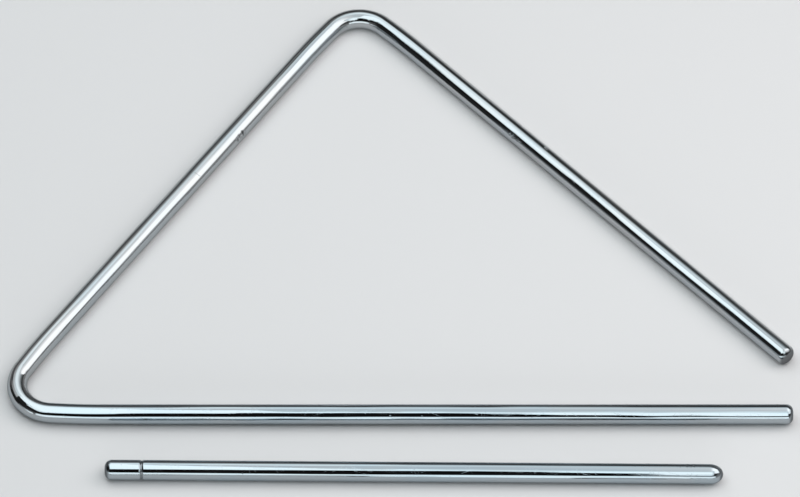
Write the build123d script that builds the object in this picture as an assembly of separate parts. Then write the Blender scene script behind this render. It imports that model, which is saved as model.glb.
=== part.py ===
# Triangle instrument: an open triangle bent from one plated steel rod, and the
# straight beater that strikes it, both lying flat on a table.
# Millimetres. X runs along the base leg, Y points to the apex, Z points up.
import os

from build123d import *

# Rod stock shared by the bar and the beater
rod_diameter = 8.0
rod_radius = rod_diameter / 2

# Legs of the bar, straight stretch only, up to the face of a free end
base_leg_length = 271.5
rising_leg_length = 173.3
sloping_leg_length = 215.6

# Bends, both made on one tool: the rod eases into and out of the tool's radius
bend_radius = 14.2
ease_radius = 300.0
ease_deg = 4.0
heel_turn_deg = 124.3
apex_turn_deg = 103.0

# Free ends of the bar, rounded over after cutting
end_round = 2.6

# Beater, measured from the small flat in the middle of its butt
beater_length = 241.8
butt_round = 2.8
nose_length = 5.2
groove_center = 14.5
groove_width = 1.3
groove_depth = 0.3
quarter_turn_deg = 90

# Where the beater lies, from the point where the base leg leaves the heel bend
butt_setback = 1.4
beater_drop = 27.4
beater_tilt_deg = -0.52


def eased_bend(start, tangent, turn_deg):
    """A cold bend to the right: an easing arc, the tool's own arc and an easing arc again."""
    tool_deg = turn_deg - ease_deg * 2
    lead_in = JernArc(start, tangent, ease_radius, -ease_deg)
    tool_arc = JernArc(lead_in @ 1, lead_in % 1, bend_radius, -tool_deg)
    return JernArc(tool_arc @ 1, tool_arc % 1, ease_radius, -ease_deg)


def build_bar():
    """One rod swept along the open triangle, then rounded over at its two free ends."""
    with BuildPart() as bar:
        with BuildLine() as centreline:
            base = Line((base_leg_length, 0), (0, 0))
            heel = eased_bend(base @ 1, base % 1, heel_turn_deg)
            rising = PolarLine(heel @ 1, rising_leg_length, direction=heel % 1)
            apex = eased_bend(rising @ 1, rising % 1, apex_turn_deg)
            sloping = PolarLine(apex @ 1, sloping_leg_length, direction=apex % 1)
        with BuildSketch(Plane(origin=base @ 0, z_dir=base % 0)):
            Circle(rod_radius)
        sweep(path=centreline.wires()[0])
        for free_end in (base @ 0, sloping @ 1):
            end_face = bar.faces().sort_by_distance(free_end)[0]
            fillet(end_face.edges(), end_round)
    return bar.part


def build_beater():
    """A turned rod: rounded butt, shallow cord groove, long shank and an oval nose."""
    groove_start = groove_center - groove_width / 2
    groove_end = groove_center + groove_width / 2
    nose_start = beater_length - nose_length
    butt_edge = rod_radius - butt_round
    with BuildPart() as beater:
        with BuildSketch(Plane.XY):
            with BuildLine():
                Line((0, 0), (0, butt_edge))
                JernArc((0, butt_edge), Axis.Y.direction, butt_round, -quarter_turn_deg)
                Line((butt_round, rod_radius), (groove_start, rod_radius))
                ThreePointArc(
                    (groove_start, rod_radius),
                    (groove_center, rod_radius - groove_depth),
                    (groove_end, rod_radius),
                )
                Line((groove_end, rod_radius), (nose_start, rod_radius))
                EllipticalCenterArc((nose_start, 0), nose_length, rod_radius, arc_size=quarter_turn_deg)
                Line((beater_length, 0), (0, 0))
            make_face()
        revolve(axis=Axis.X)
    return beater.part


bar = build_bar()
beater = Pos(butt_setback, -beater_drop, 0) * Rot(0, 0, beater_tilt_deg) * build_beater()

# The shared frame stands under the middle of the pair
box = Compound([bar, beater]).bounding_box()
to_frame = Pos(-box.center().X, -box.center().Y, -box.min.Z)
nodes = {"triangle_bar": to_frame * bar, "beater": to_frame * beater}

os.makedirs("parts", exist_ok=True)
for name, shape in nodes.items():
    export_step(shape, f"parts/{name}.step")
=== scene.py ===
import math

import bpy
from mathutils import Matrix, Vector
from mathutils.kdtree import KDTree


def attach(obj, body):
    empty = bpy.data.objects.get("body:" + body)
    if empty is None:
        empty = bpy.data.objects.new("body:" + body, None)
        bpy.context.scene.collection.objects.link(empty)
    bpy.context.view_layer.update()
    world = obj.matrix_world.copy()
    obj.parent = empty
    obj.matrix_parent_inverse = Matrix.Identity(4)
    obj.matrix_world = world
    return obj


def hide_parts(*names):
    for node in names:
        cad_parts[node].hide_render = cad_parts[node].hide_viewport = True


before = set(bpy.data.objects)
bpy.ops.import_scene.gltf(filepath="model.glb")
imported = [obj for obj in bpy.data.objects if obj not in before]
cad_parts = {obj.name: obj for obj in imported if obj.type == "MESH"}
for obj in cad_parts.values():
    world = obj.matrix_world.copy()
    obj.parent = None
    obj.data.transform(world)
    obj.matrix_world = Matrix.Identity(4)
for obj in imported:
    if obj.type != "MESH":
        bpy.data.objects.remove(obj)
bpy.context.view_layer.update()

# The bar is one round steel rod, drawn, polished and bent cold round a small
# roller at the heel and the apex, then plated bright all over. Its two ends are
# cut square and rounded over, and stand apart at the open corner.
rod_radius = 0.004
base_leg = 0.2715
rising_leg = 0.1733
sloping_leg = 0.2156
roller_radius = 0.0142
roller_steps = 56
ease_radius = 0.300
ease_turn = math.radians(4.0)
ease_steps = 10
heel_turn = math.radians(124.3)
apex_turn = math.radians(103.0)
end_round = 0.0026
end_round_steps = 14
end_edge_angle = math.radians(60)
end_collar = 0.0030
ring_points = 96
weld_gap = 1e-7
quarter_turn = math.radians(90)
bar_start = Vector((0.1542, -0.0878252, rod_radius))
up = Vector((0, 0, 1))
stations = [(bar_start, Vector((-1, 0, 0)), 0.0)]


def draw_out(length):
    """Draws the open ring out straight, with a short collar at each end of the run."""
    for run in (end_collar, length - 2 * end_collar, end_collar):
        at, heading, along = stations[-1]
        bpy.ops.mesh.extrude_edges_move(TRANSFORM_OT_translate={"value": heading * run})
        stations.append((at + heading * run, heading, along + run))


def bend_right(radius, turn, steps):
    """Turns the open ring to the right round a roller of that radius."""
    at, heading, along = stations[-1]
    roller = at + heading.cross(up) * radius
    bpy.ops.mesh.spin(steps=steps, angle=turn, center=roller, axis=up)
    for k in range(1, steps + 1):
        turned = Matrix.Rotation(-turn * k / steps, 3, up)
        run = radius * turn * k / steps
        stations.append((roller + turned @ (at - roller), turned @ heading, along + run))


def cold_bend(turn):
    """A whole corner: the rod eases in, goes round the roller and eases out. Gives the corner's middle."""
    start = stations[-1][2]
    bend_right(ease_radius, ease_turn, ease_steps)
    bend_right(roller_radius, turn - 2 * ease_turn, roller_steps)
    bend_right(ease_radius, ease_turn, ease_steps)
    return (start + stations[-1][2]) / 2


bpy.ops.object.select_all(action="DESELECT")
bpy.ops.mesh.primitive_circle_add(
    vertices=ring_points, radius=rod_radius, location=bar_start, rotation=(0, quarter_turn, 0)
)
bar_rod = bpy.context.object
bar_rod.name = bar_rod.data.name = "bar_rod"
bpy.ops.object.transform_apply(location=True, rotation=True, scale=True)
bpy.ops.object.mode_set(mode="EDIT")
bpy.ops.mesh.select_mode(type="EDGE")
bpy.ops.mesh.select_all(action="SELECT")
draw_out(base_leg)
heel_middle = cold_bend(heel_turn)
draw_out(rising_leg)
apex_middle = cold_bend(apex_turn)
draw_out(sloping_leg)
bpy.ops.mesh.edge_face_add()
bpy.ops.mesh.select_all(action="DESELECT")
bpy.ops.mesh.select_non_manifold()
bpy.ops.mesh.edge_face_add()
bpy.ops.mesh.select_all(action="DESELECT")
bpy.ops.mesh.edges_select_sharp(sharpness=end_edge_angle)
bpy.ops.mesh.bevel(
    offset=end_round, segments=end_round_steps, profile=0.5, affect="EDGES", clamp_overlap=False
)
bpy.ops.mesh.select_all(action="SELECT")
bpy.ops.mesh.remove_doubles(threshold=weld_gap)
bpy.ops.mesh.normals_make_consistent(inside=False)
bpy.ops.object.mode_set(mode="OBJECT")
bpy.ops.object.shade_smooth()

# Every point of the rod keeps the place it had while the rod was straight: how far
# along, how far to the inner side and how far up, so that marks follow the rod.
nearest = KDTree(len(stations))
for k, (at, heading, along) in enumerate(stations):
    nearest.insert(at, k)
nearest.balance()
unbent = bar_rod.data.attributes.new("unbent", "FLOAT_VECTOR", "POINT")
for point, spot in zip(bar_rod.data.vertices, unbent.data):
    at, k, gap = nearest.find(point.co)
    heading, along = stations[k][1:]
    off = point.co - at
    spot.vector = (along + off.dot(heading), off.dot(heading.cross(up)), off.z)
bar_length = stations[-1][2]


def lay(tree, kind, values=None, **settings):
    """Puts one node into a tree, with its settings and the values of its open sockets."""
    node = tree.nodes.new("ShaderNode" + kind)
    for key, value in settings.items():
        setattr(node, key, value)
    for socket, value in (values or {}).items():
        node.inputs[socket].default_value = value
    return node


def grain(tree, place, stretch, detail):
    """Noise on the straightened rod, with so many grains to the metre along, aside and up."""
    stretched = lay(tree, "VectorMath", {1: stretch}, operation="MULTIPLY")
    noise = lay(tree, "TexNoise", {"Scale": 1.0, "Detail": detail})
    tree.links.new(place, stretched.inputs[0])
    tree.links.new(stretched.outputs[0], noise.inputs["Vector"])
    return noise.outputs["Fac"]


def ease(tree, value, start, end):
    """Goes smoothly from 0 to 1 as the value goes from start to end."""
    step = lay(tree, "MapRange", {"From Min": start, "From Max": end}, interpolation_type="SMOOTHSTEP")
    tree.links.new(value, step.inputs["Value"])
    return step.outputs["Result"]


def work(tree, operation, *terms):
    """One step of arithmetic between sockets and plain numbers."""
    step = lay(tree, "Math", operation=operation)
    for k, term in enumerate(terms):
        if isinstance(term, bpy.types.NodeSocket):
            tree.links.new(term, step.inputs[k])
        else:
            step.inputs[k].default_value = term
    return step.outputs[0]


def effect(name, places, amounts, results):
    """A new node group with vector inputs, number inputs and number outputs."""
    tree = bpy.data.node_groups.new(name, "ShaderNodeTree")
    for label in places:
        tree.interface.new_socket(name=label, in_out="INPUT", socket_type="NodeSocketVector")
    for label in amounts:
        tree.interface.new_socket(name=label, in_out="INPUT", socket_type="NodeSocketFloat")
    for label in results:
        tree.interface.new_socket(name=label, in_out="OUTPUT", socket_type="NodeSocketFloat")
    return tree, tree.nodes.new("NodeGroupInput").outputs, tree.nodes.new("NodeGroupOutput").inputs


# Wear that both rods share. Heights and depths are in millimetres.
scratch_leans = (14, -24, 63)
scratch_depth = 0.004
speck_depth = 0.02
speck_share = 0.10
rod_wear, given, put_out = effect(
    "rod_wear", ["Unbent"], ["Waviness", "Drawn Lines"], ["Tone", "Haze", "Specks", "Height"]
)
place = given["Unbent"]
tone = ease(rod_wear, grain(rod_wear, place, (38, 140, 140), 2), 0.35, 0.65)
waves = work(rod_wear, "SUBTRACT", grain(rod_wear, place, (24, 190, 190), 1), 0.5)
lines = work(rod_wear, "SUBTRACT", grain(rod_wear, place, (5, 700, 700), 2), 0.5)
smudge = ease(rod_wear, grain(rod_wear, place, (75, 150, 150), 3), 0.50, 0.72)
streaks = ease(rod_wear, grain(rod_wear, place, (30, 1500, 1500), 1), 0.35, 0.65)
scratch = 0.0
for lean in scratch_leans:
    turned = lay(rod_wear, "VectorRotate", {"Angle": math.radians(lean)}, rotation_type="Z_AXIS")
    rod_wear.links.new(place, turned.inputs["Vector"])
    hair = grain(rod_wear, turned.outputs[0], (28, 620, 180), 0)
    from_line = work(rod_wear, "ABSOLUTE", work(rod_wear, "SUBTRACT", hair, 0.5))
    thin = ease(rod_wear, from_line, 0.010, 0.003)
    here = ease(rod_wear, grain(rod_wear, turned.outputs[0], (60, 210, 210), 0), 0.56, 0.64)
    scratch = work(rod_wear, "MAXIMUM", scratch, work(rod_wear, "MULTIPLY", thin, here))
cells = lay(rod_wear, "TexVoronoi", {"Scale": 240.0})
cell_pick = lay(rod_wear, "SeparateColor")
rod_wear.links.new(place, cells.inputs["Vector"])
rod_wear.links.new(cells.outputs["Color"], cell_pick.inputs["Color"])
picked = work(rod_wear, "LESS_THAN", cell_pick.outputs["Red"], speck_share)
specks = work(rod_wear, "MULTIPLY", picked, ease(rod_wear, cells.outputs["Distance"], 0.085, 0.035))
haze = work(rod_wear, "MULTIPLY", smudge, work(rod_wear, "MULTIPLY_ADD", streaks, 0.5, 0.5))
height = work(rod_wear, "MULTIPLY", waves, given["Waviness"])
height = work(rod_wear, "MULTIPLY_ADD", lines, given["Drawn Lines"], height)
height = work(rod_wear, "MULTIPLY_ADD", scratch, -scratch_depth, height)
height = work(rod_wear, "MULTIPLY_ADD", specks, -speck_depth, height)
rod_wear.links.new(tone, put_out["Tone"])
rod_wear.links.new(work(rod_wear, "MAXIMUM", haze, scratch), put_out["Haze"])
rod_wear.links.new(specks, put_out["Specks"])
rod_wear.links.new(height, put_out["Height"])

# A knock: a patch of short scuffs across the rod, with a ragged edge, where metal has struck it.
strike_mark, given, put_out = effect("strike_mark", ["Unbent", "Where", "Reach"], [], ["Mask"])
from_middle = lay(strike_mark, "VectorMath", operation="SUBTRACT")
in_reach = lay(strike_mark, "VectorMath", operation="DIVIDE")
away = lay(strike_mark, "VectorMath", operation="LENGTH")
strike_mark.links.new(given["Unbent"], from_middle.inputs[0])
strike_mark.links.new(given["Where"], from_middle.inputs[1])
strike_mark.links.new(from_middle.outputs[0], in_reach.inputs[0])
strike_mark.links.new(given["Reach"], in_reach.inputs[1])
strike_mark.links.new(in_reach.outputs[0], away.inputs[0])
ragged = work(strike_mark, "SUBTRACT", grain(strike_mark, given["Unbent"], (1300, 800, 800), 1), 0.5)
patch = ease(strike_mark, work(strike_mark, "ADD", away.outputs["Value"], ragged), 1.0, 0.3)
scuffs = ease(strike_mark, grain(strike_mark, given["Unbent"], (1500, 230, 230), 0), 0.44, 0.62)
strike_mark.links.new(work(strike_mark, "MULTIPLY", patch, scuffs), put_out["Mask"])

# Cut ends: a mask for the rounded rim, where the plating is rougher and is painted dark as painted shade, and
# fine rings left by the facing tool.
rings_per_metre = 4200.0
ring_depth = 0.006
end_rim_and_rings, given, put_out = effect("end_rim_and_rings", ["Unbent"], ["Length", "Rim"], ["Mask", "Height"])
apart = lay(end_rim_and_rings, "SeparateXYZ")
end_rim_and_rings.links.new(given["Unbent"], apart.inputs[0])
to_last_end = work(end_rim_and_rings, "SUBTRACT", given["Length"], apart.outputs["X"])
to_end = work(end_rim_and_rings, "MINIMUM", apart.outputs["X"], to_last_end)
rim = ease(end_rim_and_rings, work(end_rim_and_rings, "DIVIDE", to_end, given["Rim"]), 1.0, 0.35)
across = lay(end_rim_and_rings, "VectorMath", {1: (0, 1, 1)}, operation="MULTIPLY")
from_axis = lay(end_rim_and_rings, "VectorMath", operation="LENGTH")
end_rim_and_rings.links.new(given["Unbent"], across.inputs[0])
end_rim_and_rings.links.new(across.outputs[0], from_axis.inputs[0])
rings = lay(end_rim_and_rings, "TexNoise", {"Scale": rings_per_metre, "Detail": 1.0}, noise_dimensions="1D")
end_rim_and_rings.links.new(from_axis.outputs["Value"], rings.inputs["W"])
rings_here = work(end_rim_and_rings, "MULTIPLY", rings.outputs["Fac"], rim)
end_rim_and_rings.links.new(rim, put_out["Mask"])
end_rim_and_rings.links.new(work(end_rim_and_rings, "MULTIPLY", rings_here, ring_depth), put_out["Height"])


def plate(name, length, rim, waviness, drawn_lines, cool_until, knocks, grooves=(), bends=()):
    """Bright plating on one rod, in metres. A knock has a place, reach and depth in millimetres, and a share
    of painted shade for the dent.
    """
    cool_plating = (0.385, 0.440, 0.478, 1)
    neutral_plating = (0.430, 0.443, 0.452, 1)
    # Dark plating: real pits, and painted shade at the end rims and in the knocks, and the groove's darker
    # middle.
    worn_and_shaded_plating = (0.07, 0.072, 0.075, 1)
    tone_run = 0.060
    polished, hazed, rim_rough, knock_rough, groove_rough = 0.03, 0.11, 0.08, 0.20, 0.30
    # How dark the rounded end rims are painted: painted shade standing in for the dark reflection at the
    # rims.
    rim_shade = 0.75
    ripple_height = 0.012
    plating = bpy.data.materials.new(name)
    plating.use_nodes = True
    tree = plating.node_tree
    place = lay(tree, "Attribute", attribute_name="unbent").outputs["Vector"]
    apart = lay(tree, "SeparateXYZ")
    tree.links.new(place, apart.inputs[0])
    wear = lay(tree, "Group", node_tree=rod_wear)
    wear.inputs["Waviness"].default_value = waviness
    wear.inputs["Drawn Lines"].default_value = drawn_lines
    tree.links.new(place, wear.inputs["Unbent"])
    ends = lay(tree, "Group", node_tree=end_rim_and_rings)
    ends.inputs["Length"].default_value = length
    ends.inputs["Rim"].default_value = rim
    tree.links.new(place, ends.inputs["Unbent"])
    # The end rims are painted dark here: painted shade for the dark reflection they show.
    wear_and_shade = work(tree, "MULTIPLY", ends.outputs["Mask"], rim_shade)
    wear_and_shade = work(tree, "MAXIMUM", wear.outputs["Specks"], wear_and_shade)
    rough = work(tree, "MULTIPLY_ADD", wear.outputs["Haze"], hazed, polished)
    rough = work(tree, "MULTIPLY_ADD", ends.outputs["Mask"], rim_rough, rough)
    drawn = work(tree, "SUBTRACT", 1.0, ends.outputs["Mask"])
    height = work(tree, "MULTIPLY_ADD", wear.outputs["Height"], drawn, ends.outputs["Height"])
    for where, reach, depth, dent_shade in knocks:
        knock = lay(tree, "Group", node_tree=strike_mark)
        knock.inputs["Where"].default_value = Vector(where) / 1000
        knock.inputs["Reach"].default_value = Vector(reach) / 1000
        tree.links.new(place, knock.inputs["Unbent"])
        # Each knock is also painted dark by its share: painted shade in the dent.
        wear_and_shade = work(tree, "MAXIMUM", work(tree, "MULTIPLY", knock.outputs["Mask"], dent_shade), wear_and_shade)
        rough = work(tree, "MULTIPLY_ADD", knock.outputs["Mask"], knock_rough, rough)
        height = work(tree, "MULTIPLY_ADD", knock.outputs["Mask"], -depth, height)
    # The groove is darker and rougher towards its middle.
    for middle, half in grooves:
        off = work(tree, "ABSOLUTE", work(tree, "SUBTRACT", apart.outputs["X"], middle))
        uneven = work(tree, "MULTIPLY_ADD", grain(tree, place, (900, 500, 500), 2), 0.6, 0.3)
        groove_darkening = work(tree, "MULTIPLY", ease(tree, off, half, half / 2), uneven)
        wear_and_shade = work(tree, "MAXIMUM", wear_and_shade, groove_darkening)
        rough = work(tree, "MULTIPLY_ADD", groove_darkening, groove_rough, rough)
    for middle, half in bends:
        off = work(tree, "ABSOLUTE", work(tree, "SUBTRACT", apart.outputs["X"], middle))
        strained = ease(tree, off, half, half / 1.5)
        ripple = work(tree, "MULTIPLY", strained, grain(tree, place, (420, 900, 900), 2))
        height = work(tree, "MULTIPLY_ADD", ripple, ripple_height, height)
    drift = ease(tree, apart.outputs["X"], cool_until, cool_until + tone_run)
    tone = work(tree, "MULTIPLY_ADD", drift, 0.6, work(tree, "MULTIPLY", wear.outputs["Tone"], 0.4))
    metal = tree.nodes["Principled BSDF"]
    clean = lay(tree, "Mix", {6: cool_plating, 7: neutral_plating}, data_type="RGBA")
    worn_and_shaded = lay(tree, "Mix", {7: worn_and_shaded_plating}, data_type="RGBA")
    relief = lay(tree, "Bump", {"Strength": 1.0, "Distance": 0.001})
    metal.inputs["Metallic"].default_value = 1
    metal.inputs["Specular Tint"].default_value = (0.6, 0.6, 0.6, 1)
    tree.links.new(tone, clean.inputs[0])
    tree.links.new(wear_and_shade, worn_and_shaded.inputs[0])
    tree.links.new(clean.outputs[2], worn_and_shaded.inputs[6])
    tree.links.new(worn_and_shaded.outputs[2], metal.inputs["Base Color"])
    tree.links.new(rough, metal.inputs["Roughness"])
    tree.links.new(height, relief.inputs["Height"])
    tree.links.new(relief.outputs["Normal"], metal.inputs["Normal"])
    return plating


bar_chrome = plate(
    "bar_chrome", bar_length, rim=0.0020, waviness=0.32, drawn_lines=0.10, cool_until=0.265,
    # Each knock: place, reach and depth in millimetres, then its share of painted shade.
    knocks=[
        ((467.3, 3.60, 1.74), (4.2, 1.9, 1.9), 0.16, 0.85),
        ((640.5, 3.10, 2.50), (6.2, 1.5, 1.5), 0.10, 0.0),
        ((439.9, 1.52, 3.70), (0.4, 1.8, 1.8), 0.03, 0.30),
        ((655.1, -1.53, 3.70), (1.4, 0.7, 0.7), 0.25, 0.30),
        ((158.6, -2.91, 2.75), (0.7, 0.5, 0.5), 0.08, 0.30),
        ((145.6, -2.91, 2.75), (0.6, 0.5, 0.5), 0.08, 0.30),
    ],
    bends=[(heel_middle, 0.020), (apex_middle, 0.018)],
)
bar_rod.data.materials.append(bar_chrome)
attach(bar_rod, "bar")
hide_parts("triangle_bar")

# The beater is a short length of the same rod, turned on a lathe: a rounded butt,
# a fine groove where a cord can be tied, a plain shank and an oval nose. It is
# plated like the bar and lies loose beside it.
beater_length = 0.2418
butt_round = 0.0028
butt_steps = 14
butt_flat = rod_radius - butt_round
nose_length = 0.0052
nose_steps = 24
nose_collar = 0.001
groove_center = 0.0145
groove_width = 0.0013
groove_half = groove_width / 2
groove_depth = 0.0003
groove_steps = 12
groove_collar = 0.0004
beater_tilt = math.radians(-0.52)
butt = Vector((-0.1159, -0.1152252, rod_radius))


def turn_to(x_from, r_from, x_to, r_to):
    """Takes the open ring on to the next station of the lathe profile."""
    bpy.ops.mesh.extrude_edges_move(TRANSFORM_OT_translate={"value": (x_to - x_from, 0, 0)})
    share = r_to / r_from
    bpy.ops.transform.resize(value=(1, share, share), center_override=(x_to, 0, 0))


profile = []
for k in range(1, butt_steps + 1):
    a = quarter_turn * k / butt_steps
    profile.append((butt_round * (1 - math.cos(a)), rod_radius - butt_round * (1 - math.sin(a))))
profile.append((groove_center - groove_half - groove_collar, rod_radius))
for k in range(groove_steps + 1):
    x = groove_half * (2 * k / groove_steps - 1)
    profile.append((groove_center + x, rod_radius - groove_depth * (1 - (x / groove_half) ** 2)))
profile.append((groove_center + groove_half + groove_collar, rod_radius))
profile.append((beater_length - nose_length - nose_collar, rod_radius))
for k in range(nose_steps):
    a = quarter_turn * k / nose_steps
    profile.append((beater_length - nose_length * (1 - math.sin(a)), rod_radius * math.cos(a)))

bpy.ops.object.select_all(action="DESELECT")
bpy.ops.mesh.primitive_circle_add(
    vertices=ring_points, radius=butt_flat, fill_type="NGON", rotation=(0, -quarter_turn, 0)
)
beater_rod = bpy.context.object
beater_rod.name = beater_rod.data.name = "beater_rod"
bpy.ops.object.transform_apply(location=True, rotation=True, scale=True)
bpy.ops.object.mode_set(mode="EDIT")
bpy.ops.mesh.select_mode(type="EDGE")
bpy.ops.mesh.select_all(action="DESELECT")
bpy.ops.mesh.select_non_manifold()
x, r = 0.0, butt_flat
for x_next, r_next in profile:
    turn_to(x, r, x_next, r_next)
    x, r = x_next, r_next
bpy.ops.mesh.extrude_edges_move(TRANSFORM_OT_translate={"value": (beater_length - x, 0, 0)})
bpy.ops.mesh.merge(type="CENTER")
bpy.ops.mesh.select_all(action="SELECT")
bpy.ops.mesh.normals_make_consistent(inside=False)
bpy.ops.object.mode_set(mode="OBJECT")
bpy.ops.object.shade_smooth()
unbent = beater_rod.data.attributes.new("unbent", "FLOAT_VECTOR", "POINT")
for point, spot in zip(beater_rod.data.vertices, unbent.data):
    spot.vector = point.co
beater_rod.location = butt
beater_rod.rotation_euler = (0, 0, beater_tilt)
bpy.ops.object.transform_apply(location=True, rotation=True, scale=True)
beater_chrome = plate(
    "beater_chrome", beater_length, rim=0.0020, waviness=0.12, drawn_lines=0.13, cool_until=beater_length,
    # Each knock: place, reach and depth in millimetres, then its share of painted shade.
    knocks=[
        ((54.2, -3.04, 2.60), (0.9, 0.6, 0.6), 0.12, 0.30),
        ((228.0, 1.2, 3.8), (5.0, 1.6, 1.6), 0.03, 0.30),
    ],
    grooves=[(groove_center, groove_width * 0.6)],
)
beater_rod.data.materials.append(beater_chrome)
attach(beater_rod, "beater")
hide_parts("beater")

# The table is a plain pale matt sheet, wide enough to fill the picture and the
# lower half of every reflection. Both rods lie loose on it.
table_side = 8
bpy.ops.object.select_all(action="DESELECT")
bpy.ops.mesh.primitive_plane_add(size=table_side, location=(0, 0, 0))
table = bpy.context.object
table.name = "table"
table_paint = bpy.data.materials.new("table_paint")
table_paint.use_nodes = True
paint = table_paint.node_tree.nodes["Principled BSDF"]
paint.inputs["Base Color"].default_value = (0.72, 0.70, 0.70, 1)
paint.inputs["Roughness"].default_value = 0.9
paint.inputs["Specular IOR Level"].default_value = 0.0
table.data.materials.append(table_paint)

# Wide soft boxes hang edge to edge over the table and leave a dark gap in front,
# where the camera stands, and on the left. Low white boards in front and on the
# left, and the dim walls of the room, fill in the rest.
rig_height = 0.80
rig_corner = Vector((0, -0.48, rig_height))
rig_turn = math.radians(10.6)
rig_reach = 2.0
gap_edge = 0.045
near_seam = 0.25
left_seam = 0.80
right_seam = 0.88
left_end = 1.60
cool = Vector((0.935, 1.02, 1.045))
neutral = Vector((1.0, 1.0, 1.0))


def set_stops(ramp, stops):
    """Gives a colour ramp its stops, each a place from 0 to 1 and a colour."""
    while len(ramp.color_ramp.elements) < len(stops):
        ramp.color_ramp.elements.new(0.5)
    for stop, (share, colour) in zip(ramp.color_ramp.elements, stops):
        stop.position = share
        stop.color = (*colour, 1)


def soft_box(name, low, high, hot_spot, squeeze, falloff):
    """A flat soft light between two corners of the rig, brightest at its hot spot and dimmer away from it."""
    lamp = bpy.data.lights.new(name, "AREA")
    lamp.shape = "RECTANGLE"
    lamp.size = high[0] - low[0]
    lamp.size_y = high[1] - low[1]
    lamp.energy = math.pi * lamp.size * lamp.size_y
    lamp.use_nodes = True
    tree = lamp.node_tree
    across = lay(tree, "NewGeometry")
    from_hot_spot = lay(tree, "VectorMath", operation="MULTIPLY_ADD")
    from_hot_spot.inputs[1].default_value = (lamp.size, lamp.size_y * squeeze, 0)
    from_hot_spot.inputs[2].default_value = (low[0] - hot_spot[0], (low[1] - hot_spot[1]) * squeeze, 0)
    away = lay(tree, "VectorMath", operation="LENGTH")
    glow = lay(tree, "ValToRGB")
    set_stops(glow, [(metres / rig_reach, level * tint) for metres, level, tint in falloff])
    tree.links.new(across.outputs["Parametric"], from_hot_spot.inputs[0])
    tree.links.new(from_hot_spot.outputs["Vector"], away.inputs[0])
    tree.links.new(work(tree, "DIVIDE", away.outputs["Value"], rig_reach), glow.inputs["Fac"])
    tree.links.new(glow.outputs["Color"], tree.nodes["Emission"].inputs["Color"])
    box = bpy.data.objects.new(name, lamp)
    middle = Vector(((low[0] + high[0]) / 2, (low[1] + high[1]) / 2, 0))
    box.location = rig_corner + Matrix.Rotation(rig_turn, 3, up) @ middle
    box.rotation_euler = (0, 0, rig_turn)
    bpy.context.scene.collection.objects.link(box)
    return box


soft_box(
    "left_box", low=(-0.54, 0.0), high=(0.0, left_seam), hot_spot=(-0.14, 0.58), squeeze=0.55,
    falloff=[(0.22, 2.1, cool), (0.40, 1.6, cool), (0.6, 1.25, cool)],
)
soft_box(
    "left_far_box", low=(-1.10, left_seam), high=(0.0, left_end), hot_spot=(-0.08, 0.80), squeeze=1.0,
    falloff=[(0.15, 2.0, cool), (0.4, 1.3, cool), (0.8, 0.6, neutral), (1.1, 0.25, neutral)],
)
soft_box(
    "right_box", low=(0.0, near_seam), high=(2.3, right_seam), hot_spot=(0.98, 0.50), squeeze=0.4,
    falloff=[(0.45, 2.25, neutral), (0.68, 1.3, neutral), (0.82, 1.05, cool), (1.4, 1.1, neutral)],
)
soft_box(
    "right_low_box", low=(0.6, -0.20), high=(2.3, near_seam), hot_spot=(1.15, 0.25), squeeze=0.8,
    falloff=[(0.35, 2.1, neutral), (0.7, 1.5, neutral), (1.1, 1.0, neutral)],
)
soft_box(
    "right_near_box", low=(gap_edge, -0.62), high=(0.6, near_seam), hot_spot=(0.185, -0.16), squeeze=0.8,
    falloff=[(0.15, 2.1, cool), (0.35, 1.35, cool), (0.6, 0.5, cool)],
)
soft_box(
    "middle_box", low=(0.0, 0.0), high=(gap_edge, near_seam), hot_spot=(0.0, 0.25), squeeze=1.0,
    falloff=[(0.1, 1.9, cool), (0.25, 1.8, cool)],
)
soft_box(
    "right_far_box", low=(0.0, right_seam), high=(1.0, 1.45), hot_spot=(0.05, 0.98), squeeze=1.0,
    falloff=[(0.1, 1.7, cool), (0.3, 1.1, cool), (0.5, 0.65, cool), (0.8, 0.25, cool)],
)
soft_box(
    "far_board", low=(-0.8, left_end), high=(0.5, 2.6), hot_spot=(-0.2, 1.4), squeeze=1.0,
    falloff=[(0.2, 0.4, neutral), (1.1, 0.12, neutral)],
)
front_board = soft_box(
    "front_board", low=(-1.3, -0.3), high=(1.3, 0.3), hot_spot=(0, 0), squeeze=1.0,
    falloff=[(0.5, 1.75, cool), (1.3, 1.4, cool)],
)
front_board.location = (0, -1.6, 0.35)
front_board.rotation_euler = (quarter_turn, 0, 0)
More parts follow.
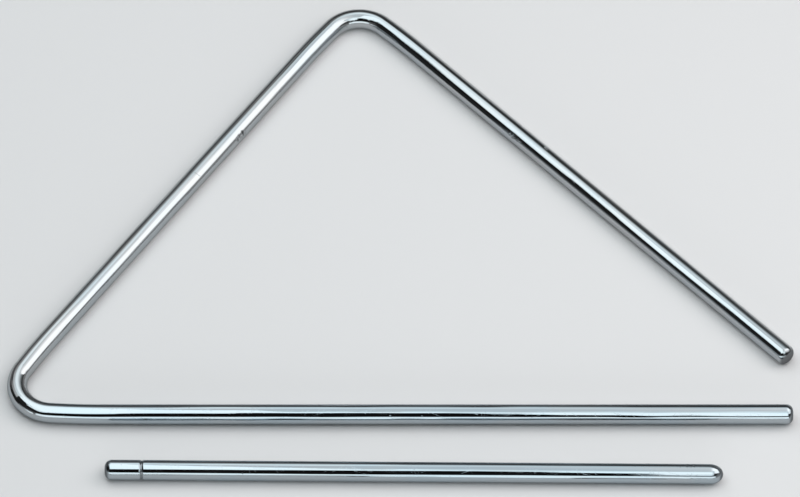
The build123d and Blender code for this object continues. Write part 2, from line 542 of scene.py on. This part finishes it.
left_board = soft_box(
    "left_board", low=(-0.6, -0.16), high=(0.6, 0.16), hot_spot=(0.6, 0), squeeze=1.0,
    falloff=[(0.4, 1.6, cool), (0.8, 0.7, cool), (1.1, 0.25, cool)],
)
left_board.location = (-1.5, -0.95, 0.18)
left_board.rotation_euler = (quarter_turn, 0, -quarter_turn)

# The room's walls are dim grey: darkest at the far left, brightest on the right, and darker higher up.
wall_levels = [(0.0, 0.04), (0.06, 0.06), (0.13, 0.38), (0.3, 0.2), (0.5, 0.12), (0.7, 0.26), (1.0, 0.5)]
height_levels = [(0.0, 1.0), (0.15, 0.9), (0.35, 0.45), (0.55, 0.08)]
room = bpy.data.worlds.new("room")
room.use_nodes = True
tree = room.node_tree
towards = lay(tree, "TexCoord")
apart = lay(tree, "SeparateXYZ")
walls = lay(tree, "ValToRGB")
heights = lay(tree, "ValToRGB")
dimmed = lay(tree, "VectorMath", operation="MULTIPLY")
for ramp, levels in ((walls, wall_levels), (heights, height_levels)):
    set_stops(ramp, [(share, (level, level, level)) for share, level in levels])
tree.links.new(towards.outputs["Generated"], apart.inputs[0])
tree.links.new(work(tree, "MULTIPLY_ADD", apart.outputs["X"], 0.5, 0.5), walls.inputs["Fac"])
tree.links.new(apart.outputs["Z"], heights.inputs["Fac"])
tree.links.new(walls.outputs["Color"], dimmed.inputs[0])
tree.links.new(heights.outputs["Color"], dimmed.inputs[1])
tree.links.new(dimmed.outputs["Vector"], tree.nodes["Background"].inputs["Color"])
bpy.context.scene.world = room

# The camera stands in front of the table and looks down on it through a long
# lens, so that both rods keep nearly the same thickness from near to far.
elevation = math.radians(51)
distance = 3.0
view_width = 0.320272
sensor_width = 36
aim = Vector((-0.000419, -0.003859, 0.004))
eye = bpy.data.cameras.new("eye")
eye.sensor_fit = "HORIZONTAL"
eye.sensor_width = sensor_width
eye.lens = sensor_width * distance / view_width
camera = bpy.data.objects.new("eye", eye)
camera.location = aim + distance * Vector((0, -math.cos(elevation), math.sin(elevation)))
camera.rotation_euler = (quarter_turn - elevation, 0, 0)
bpy.context.scene.collection.objects.link(camera)
bpy.context.scene.camera = camera
bpy.context.scene.view_settings.view_transform = "Standard"
